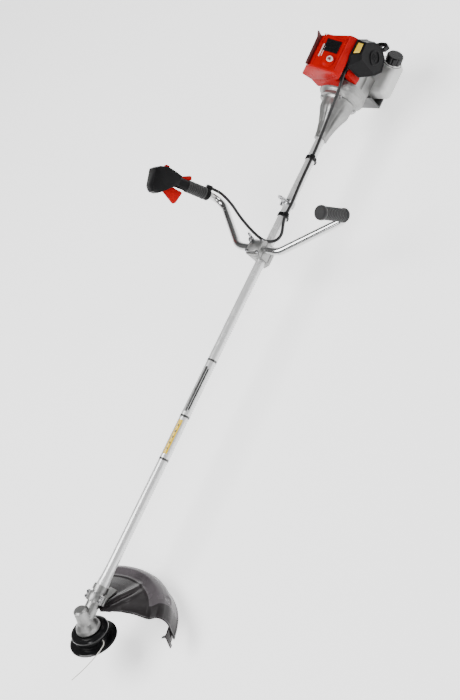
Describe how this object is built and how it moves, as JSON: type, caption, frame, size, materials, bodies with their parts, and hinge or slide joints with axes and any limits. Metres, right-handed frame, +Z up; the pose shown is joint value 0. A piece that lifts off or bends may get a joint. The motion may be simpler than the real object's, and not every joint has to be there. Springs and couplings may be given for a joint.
{
  "type": "string trimmer",
  "caption": "Petrol string trimmer: engine with clutch, long shaft tube, U handlebar with throttle grip, geared line head and wide rear guard.",
  "frame": {"origin": "on the shaft tube axis, under the middle of the handlebar, at the handle bracket", "axes": "+X along the shaft tube from the engine to the cutting head, +Y to the operator's left, +Z up on the cylinder side"},
  "size_m": [1.9852, 0.6077, 0.4395],
  "materials": {
    "tube_paint": "satin, pale silver white",
    "polished_aluminium": "polished",
    "cast_aluminium": "as cast, fine grain",
    "machined_steel": "machined",
    "spring_steel": "drawn wire",
    "sintered_bronze": "sintered",
    "black_plastic": "moulded, fine texture",
    "gloss_black_plastic": "moulded, glossy",
    "smoked_plastic": "moulded, dark brown grey",
    "grip_rubber": "moulded, ribbed",
    "cable_sheath": "satin sheath",
    "red_plastic": "moulded, glossy",
    "tank_plastic": "translucent, satin",
    "line_nylon": "extruded",
    "white_ceramic": "glazed",
    "filter_foam": "open cell foam",
    "rope_fibre": "braided",
    "dark_paint": "heat resistant, matt",
    "stand_paint": "satin"
  },
  "bodies": {
    "frame": {"shaft_tube": "tube_paint", "shaft_bushings": "sintered_bronze", "gear_case": "cast_aluminium", "ball_bearings": "machined_steel", "guard_bracket": "cast_aluminium", "guard_shell": "smoked_plastic", "guard_skirt": "smoked_plastic", "line_cutter": "machined_steel", "bracket_base": "cast_aluminium", "bar_cap": "cast_aluminium", "socket_screws": "machined_steel", "throttle_cable": "cable_sheath", "cable_clips": "black_plastic", "harness_eye": "machined_steel", "clutch_housing": "cast_aluminium", "fan_housing": "cast_aluminium", "crankcase": "cast_aluminium", "cylinder": "cast_aluminium", "spark_plug": "white_ceramic", "ignition_module": "black_plastic", "muffler": "dark_paint", "carburettor": "cast_aluminium", "filter_base": "black_plastic", "filter_element": "filter_foam", "filter_cover": "black_plastic", "top_cover": "red_plastic", "lower_shroud": "red_plastic", "starter_housing": "black_plastic", "starter_rope": "rope_fibre", "fuel_tank": "tank_plastic", "stand_plate": "stand_paint"},
    "drive": {"drive_shaft": "machined_steel", "bevel_pinion": "machined_steel", "clutch_drum": "machined_steel"},
    "head": {"crown_gear": "machined_steel", "output_spindle": "machined_steel", "head_housing": "gloss_black_plastic", "head_cover": "gloss_black_plastic", "cutting_line": "line_nylon", "spool_spring": "spring_steel"},
    "bump": {"bump_knob": "gloss_black_plastic"},
    "line_spool": {"spool": "black_plastic"},
    "crank": {"crankshaft": "machined_steel", "flywheel": "cast_aluminium"},
    "shoe_a": {"clutch_shoe_a": "machined_steel"},
    "shoe_b": {"clutch_shoe_b": "machined_steel"},
    "piston_rod": {"piston": "cast_aluminium", "connecting_rod": "machined_steel"},
    "reel": {"starter_reel": "black_plastic"},
    "pull_handle": {"starter_handle": "gloss_black_plastic"},
    "bars": {"handlebar": "polished_aluminium", "left_grip": "grip_rubber", "throttle_housing": "black_plastic"},
    "trigger": {"throttle_trigger": "red_plastic"},
    "lockout": {"lockout_lever": "red_plastic"},
    "switch": {"stop_switch": "red_plastic"},
    "carb_lever": {"throttle_lever": "machined_steel"},
    "choke": {"choke_lever": "black_plastic"},
    "tank_cap": {"fuel_cap": "gloss_black_plastic"},
    "wing_nut": {"clamp_knob": "machined_steel"}
  },
  "joints": [
    {"name": "head_spin", "type": "hinge", "parent": "frame", "child": "head", "pos_m": [1.113, 0, 0], "axis": [-0.509, 0, 0.8607], "continuous": true},
    {"name": "drive_spin", "type": "hinge", "parent": "frame", "child": "drive", "pos_m": [0, 0, 0], "axis": [1, 0, 0], "continuous": true},
    {"name": "bump_press", "type": "slide", "parent": "head", "child": "bump", "axis": [-0.509, 0, 0.8607], "range_m": [0, 0.006], "stiffness_N_per_m": 400, "springref_m": -0.01, "deforming": ["spool_spring"]},
    {"name": "spool_turn", "type": "hinge", "parent": "bump", "child": "line_spool", "pos_m": [1.113, 0, 0], "axis": [-0.509, 0, 0.8607], "continuous": true},
    {"name": "crank_spin", "type": "hinge", "parent": "frame", "child": "crank", "pos_m": [0, 0, 0], "axis": [1, 0, 0], "continuous": true},
    {"name": "shoe_a_swing", "type": "hinge", "parent": "crank", "child": "shoe_a", "pos_m": [-0.498, 0.009, -0.026], "axis": [-1, 0, 0], "range_deg": [0, 1.2], "stiffness_Nm_per_rad": 2, "springref_deg": -5.73},
    {"name": "shoe_b_swing", "type": "hinge", "parent": "crank", "child": "shoe_b", "pos_m": [-0.498, -0.009, 0.026], "axis": [-1, 0, 0], "range_deg": [0, 1.2], "stiffness_Nm_per_rad": 2, "springref_deg": -5.73},
    {"name": "piston_stroke", "type": "slide", "parent": "frame", "child": "piston_rod", "axis": [0, 0, 1], "range_m": [0, 0.03]},
    {"name": "reel_turn", "type": "hinge", "parent": "frame", "child": "reel", "pos_m": [-0.68, 0, 0], "axis": [-1, 0, 0], "range_deg": [0, 1200], "stiffness_Nm_per_rad": 0.02, "springref_deg": -572.96},
    {"name": "handle_pull", "type": "slide", "parent": "frame", "child": "pull_handle", "axis": [0, 1, 0], "range_m": [0, 0.64], "deforming": ["starter_rope"]},
    {"name": "bar_tilt", "type": "hinge", "parent": "frame", "child": "bars", "pos_m": [0, 0, 0.031], "axis": [0, 1, 0], "range_deg": [-25, 25], "deforming": ["throttle_cable"]},
    {"name": "trigger_press", "type": "hinge", "parent": "bars", "child": "trigger", "pos_m": [-0.07707, -0.30016, 0.20244], "axis": [0, 0.9719, 0.2355], "range_deg": [0, 10], "stiffness_Nm_per_rad": 0.15, "springref_deg": -28.65},
    {"name": "lockout_press", "type": "hinge", "parent": "bars", "child": "lockout", "pos_m": [-0.12498, -0.29059, 0.16297], "axis": [0, -0.9719, -0.2355], "range_deg": [0, 10], "stiffness_Nm_per_rad": 0.1, "springref_deg": -28.65},
    {"name": "switch_slide", "type": "slide", "parent": "bars", "child": "switch", "axis": [0.216, -0.23, 0.9489], "range_m": [0, 0.0035]},
    {"name": "carb_lever_turn", "type": "hinge", "parent": "frame", "child": "carb_lever", "pos_m": [-0.6, 0.054, 0.096], "axis": [0, 0, -1], "range_deg": [0, 42]},
    {"name": "choke_turn", "type": "hinge", "parent": "frame", "child": "choke", "pos_m": [-0.6183, 0.055, 0.066], "axis": [1, 0, 0], "range_deg": [-20, 0]},
    {"name": "cap_unscrew", "type": "hinge", "parent": "frame", "child": "tank_cap", "pos_m": [-0.691, 0.062, -0.069], "axis": [-0.503, 0.5533, 0.664], "range_deg": [0, 450]},
    {"name": "wing_nut_turn", "type": "hinge", "parent": "frame", "child": "wing_nut", "pos_m": [-0.018, -0.02, 0.048], "axis": [0, 0, 1], "continuous": true}
  ],
  "couplings": [
    {"joint": "drive_spin", "follows": "head_spin", "ratio": 1.3571},
    {"joint": "shoe_b_swing", "follows": "shoe_a_swing", "ratio": 1},
    {"joint": "handle_pull", "follows": "reel_turn", "m_per_rad": 0.0304},
    {"joint": "carb_lever_turn", "follows": "trigger_press", "ratio": 4}
  ]
}
